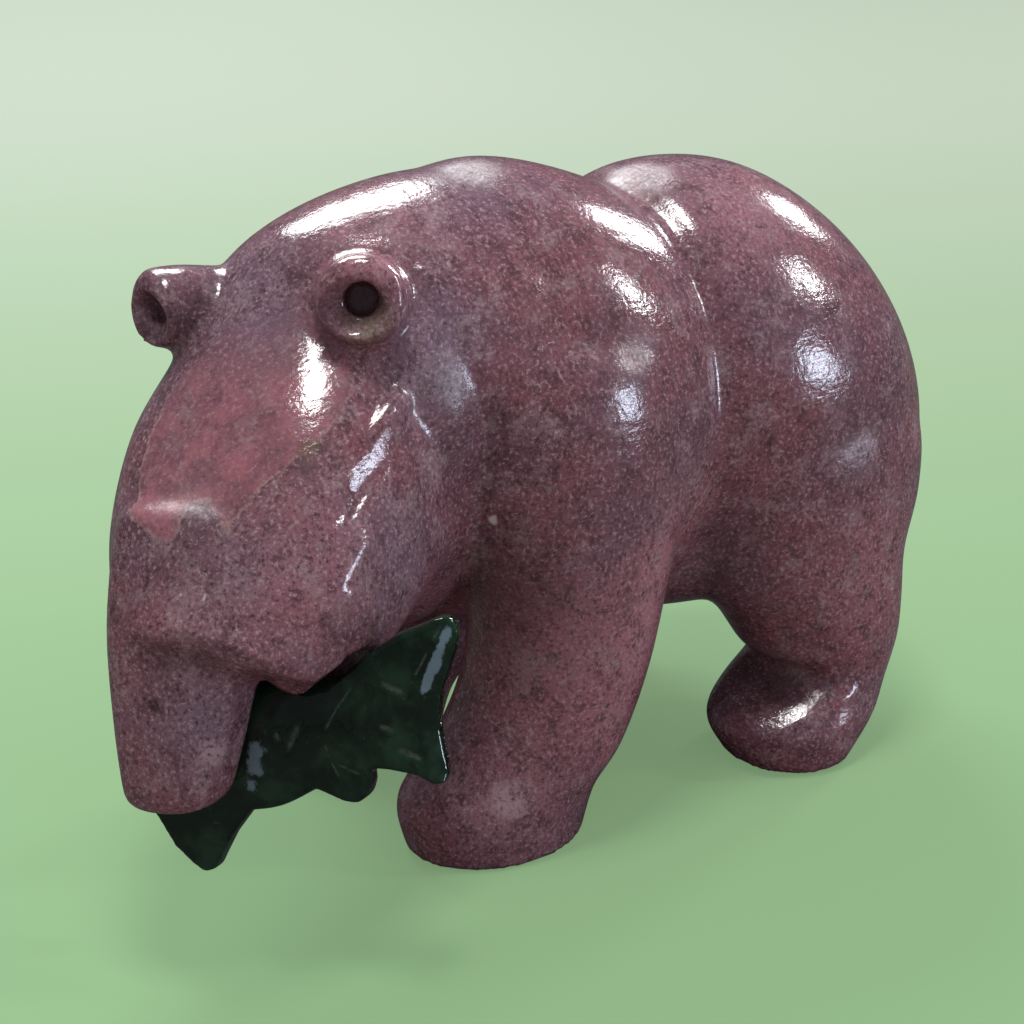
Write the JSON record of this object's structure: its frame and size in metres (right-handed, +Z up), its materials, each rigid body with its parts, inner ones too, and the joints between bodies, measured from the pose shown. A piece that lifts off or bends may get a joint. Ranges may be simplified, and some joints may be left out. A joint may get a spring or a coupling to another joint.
{
  "type": "carved stone bear with a fish in its mouth",
  "caption": "Polished rhodonite carving of a standing bear, head lowered and turned to its left, holding a flat dark green jade fish crosswise in its mouth.",
  "frame": {"origin": "the middle of the bounding box on the floor, between the four soles", "axes": "+Z up, the bear faces -Y, and its left side is at +X"},
  "size_m": [0.0682, 0.1226, 0.08],
  "materials": {
    "rhodonite": "polished to a high gloss, with fine darker and lighter grains and a rosier patch on the forehead",
    "jade": "polished, with cut grooves left lighter"
  },
  "bodies": {
    "root": {"bear": "rhodonite", "fish": "jade"}
  },
  "joints": []
}
